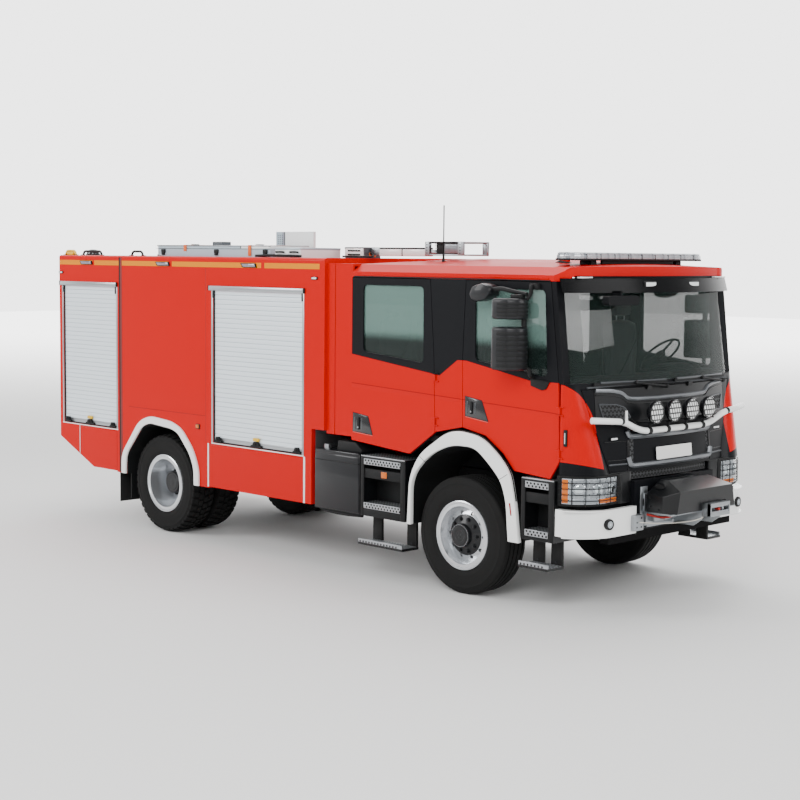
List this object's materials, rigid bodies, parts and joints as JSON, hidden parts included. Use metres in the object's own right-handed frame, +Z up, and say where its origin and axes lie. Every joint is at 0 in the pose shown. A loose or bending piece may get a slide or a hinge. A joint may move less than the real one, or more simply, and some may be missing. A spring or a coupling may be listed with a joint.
{
  "type": "fire engine",
  "caption": "Crew-cab all-wheel-drive fire engine with hinged doors, lower flaps, front hatch, roof box lid and light mast, steered front wheels and paired rear wheels.",
  "frame": {"origin": "on level ground, under the middle of the vehicle's length, width and mirrors", "axes": "+X forward, +Y to the vehicle's left, +Z up"},
  "size_m": [8.22, 3.09, 3.4798],
  "materials": {
    "tyre_rubber": "ribbed rubber",
    "wheel_silver": "satin silver paint",
    "chassis_black": "satin black paint",
    "engine_grey": "grey castings",
    "fire_red": "gloss red paint",
    "anthracite": "satin dark grey paint",
    "white_paint": "gloss white paint",
    "black_plastic": "grained black plastic",
    "smoked_plastic": "glossy smoked plastic",
    "clear_lamp": "clear lamp covers",
    "tinted_glass": "lightly tinted glass",
    "seat_cloth": "dark woven cloth",
    "shutter_alloy": "brushed pale slats",
    "roof_alloy": "plain sheet",
    "winch_steel": "galvanised steel"
  },
  "bodies": {
    "chassis": {"chassis_frame": "chassis_black", "rear_axle": "chassis_black", "front_axle": "chassis_black", "powertrain": "engine_grey", "cab_shell": "anthracite", "cab_side_panels": "fire_red", "cab_front_frame": "fire_red", "windscreen": "tinted_glass", "wipers": "black_plastic", "cab_roof": "fire_red", "sun_visor": "smoked_plastic", "light_bar": "clear_lamp", "gap_fairings": "fire_red", "seats": "seat_cloth", "dashboard": "black_plastic", "cab_steps": "anthracite", "wheel_arch_trims": "white_paint", "arch_liners": "black_plastic", "bumper_ends": "white_paint", "headlights": "clear_lamp", "front_panels": "anthracite", "winch_housing": "anthracite", "winch": "winch_steel", "body_sides": "fire_red", "body_frame": "roof_alloy", "body_roof": "roof_alloy", "roller_shutters": "shutter_alloy", "body_lamps": "clear_lamp", "roof_box": "anthracite", "mast_base": "roof_alloy", "ladder_and_rails": "roof_alloy"},
    "knuckle_left": {"knuckle_left": "chassis_black"},
    "knuckle_right": {"knuckle_right": "chassis_black"},
    "track_rod": {"track_rod": "chassis_black"},
    "front_wheel_left": {"front_tyre_left": "tyre_rubber", "front_rim_left": "wheel_silver"},
    "rear_wheels_left": {"rear_tyres_left": "tyre_rubber", "rear_rims_left": "wheel_silver"},
    "rear_door_left": {"rear_door_left": "fire_red", "rear_glass_left": "tinted_glass"},
    "front_door_left": {"front_door_left": "fire_red", "front_glass_left": "tinted_glass", "mirrors_left": "black_plastic"},
    "main_flap_left": {"main_flap_left": "fire_red"},
    "rear_flap_left": {"rear_flap_left": "fire_red"},
    "front_wheel_right": {"front_tyre_right": "tyre_rubber", "front_rim_right": "wheel_silver"},
    "rear_wheels_right": {"rear_tyres_right": "tyre_rubber", "rear_rims_right": "wheel_silver"},
    "rear_door_right": {"rear_door_right": "fire_red", "rear_glass_right": "tinted_glass"},
    "front_door_right": {"front_door_right": "fire_red", "front_glass_right": "tinted_glass", "mirrors_right": "black_plastic"},
    "main_flap_right": {"main_flap_right": "fire_red"},
    "rear_flap_right": {"rear_flap_right": "fire_red"},
    "front_hatch": {"front_hatch": "anthracite", "lamp_bar": "white_paint"},
    "roof_box_lid": {"roof_box_lid": "anthracite"},
    "mast": {"mast": "roof_alloy"}
  },
  "joints": [
    {"name": "steer_left", "type": "hinge", "parent": "chassis", "child": "knuckle_left", "pos_m": [2.26, 1, 0.53], "axis": [0, 0, 1], "range_deg": [-32, 32]},
    {"name": "steer_right", "type": "hinge", "parent": "chassis", "child": "knuckle_right", "pos_m": [2.26, -1, 0.53], "axis": [0, 0, 1], "range_deg": [-32, 32]},
    {"name": "track_rod_pivot", "type": "hinge", "parent": "knuckle_right", "child": "track_rod", "pos_m": [2.17, -1, 0.38], "axis": [0, 0, 1], "range_deg": [-32, 32]},
    {"name": "front_wheel_spin_left", "type": "hinge", "parent": "knuckle_left", "child": "front_wheel_left", "pos_m": [2.26, 1.045, 0.53], "axis": [0, 1, 0], "continuous": true},
    {"name": "rear_wheels_spin_left", "type": "hinge", "parent": "chassis", "child": "rear_wheels_left", "pos_m": [-2.14, 0.875, 0.53], "axis": [0, 1, 0], "continuous": true},
    {"name": "front_wheel_spin_right", "type": "hinge", "parent": "knuckle_right", "child": "front_wheel_right", "pos_m": [2.26, -1.045, 0.53], "axis": [0, 1, 0], "continuous": true},
    {"name": "rear_wheels_spin_right", "type": "hinge", "parent": "chassis", "child": "rear_wheels_right", "pos_m": [-2.14, -0.875, 0.53], "axis": [0, 1, 0], "continuous": true},
    {"name": "rear_door_hinge_left", "type": "hinge", "parent": "chassis", "child": "rear_door_left", "pos_m": [1.951, 1.23, 1.5], "axis": [0, 0, -1], "range_deg": [0, 80]},
    {"name": "front_door_hinge_left", "type": "hinge", "parent": "chassis", "child": "front_door_left", "pos_m": [3.4, 1.23, 1.34], "axis": [0, 0, -1], "range_deg": [0, 75]},
    {"name": "main_flap_hinge_left", "type": "hinge", "parent": "chassis", "child": "main_flap_left", "pos_m": [0, 1.24, 0.6], "axis": [-1, 0, 0], "range_deg": [0, 90]},
    {"name": "rear_flap_hinge_left", "type": "hinge", "parent": "chassis", "child": "rear_flap_left", "pos_m": [-2.945, 1.24, 0.6], "axis": [-1, 0, 0], "range_deg": [0, 90]},
    {"name": "rear_door_hinge_right", "type": "hinge", "parent": "chassis", "child": "rear_door_right", "pos_m": [1.951, -1.23, 1.5], "axis": [0, 0, 1], "range_deg": [0, 80]},
    {"name": "front_door_hinge_right", "type": "hinge", "parent": "chassis", "child": "front_door_right", "pos_m": [3.4, -1.23, 1.34], "axis": [0, 0, 1], "range_deg": [0, 75]},
    {"name": "main_flap_hinge_right", "type": "hinge", "parent": "chassis", "child": "main_flap_right", "pos_m": [0, -1.24, 0.6], "axis": [1, 0, 0], "range_deg": [0, 90]},
    {"name": "rear_flap_hinge_right", "type": "hinge", "parent": "chassis", "child": "rear_flap_right", "pos_m": [-2.945, -1.24, 0.6], "axis": [1, 0, 0], "range_deg": [0, 90]},
    {"name": "front_hatch_hinge", "type": "hinge", "parent": "chassis", "child": "front_hatch", "pos_m": [3.63218, 0, 1.919], "axis": [0, -1, 0], "range_deg": [0, 75]},
    {"name": "roof_box_lid_hinge", "type": "hinge", "parent": "chassis", "child": "roof_box_lid", "pos_m": [-2.07, -0.611, 3.068], "axis": [-1, 0, 0], "range_deg": [0, 85]},
    {"name": "mast_pivot", "type": "hinge", "parent": "chassis", "child": "mast", "pos_m": [0.33, -0.53, 3.065], "axis": [0, -1, 0], "range_deg": [0, 90]}
  ],
  "couplings": [
    {"joint": "steer_right", "follows": "steer_left", "ratio": 1},
    {"joint": "track_rod_pivot", "follows": "steer_left", "ratio": -1}
  ]
}
